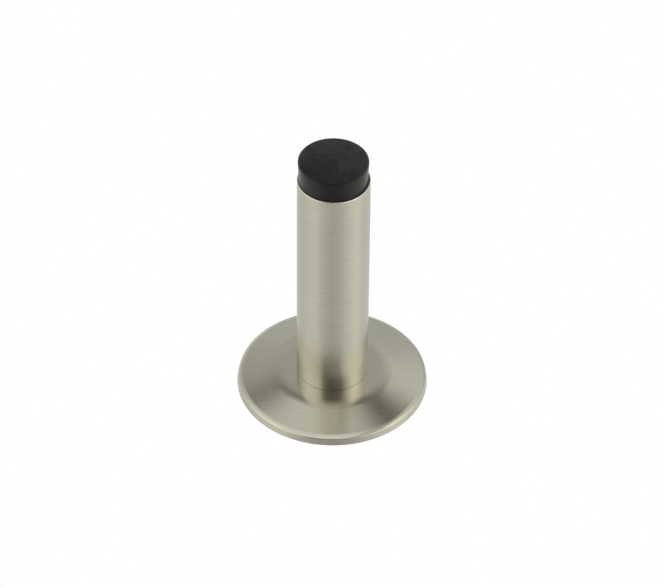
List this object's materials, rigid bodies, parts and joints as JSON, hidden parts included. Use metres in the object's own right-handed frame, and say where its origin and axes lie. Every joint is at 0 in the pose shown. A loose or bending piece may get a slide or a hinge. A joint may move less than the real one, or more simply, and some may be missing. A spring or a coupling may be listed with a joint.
{
  "type": "wall door stop",
  "caption": "Cylindrical wall door stop: a satin nickel tube on a round domed rose with hidden fixings, ending in a black rubber buffer.",
  "frame": {"origin": "centre of the rose in the plane of the wall", "axes": "+Z runs out of the wall along the barrel; +Y points to one of the hidden wall screws"},
  "size_m": [0.051, 0.051, 0.077],
  "materials": {
    "satin_nickel": "fine brushed, satin",
    "zinc_plated_steel": "bright zinc plate",
    "plain_brass": "as turned",
    "black_rubber": "matt, moulded"
  },
  "bodies": {
    "root": {"cover_rose": "satin_nickel", "barrel": "satin_nickel", "barrel_end_plug": "plain_brass", "fixing_stud": "zinc_plated_steel", "fixing_plate": "zinc_plated_steel", "buffer": "black_rubber"}
  },
  "joints": []
}
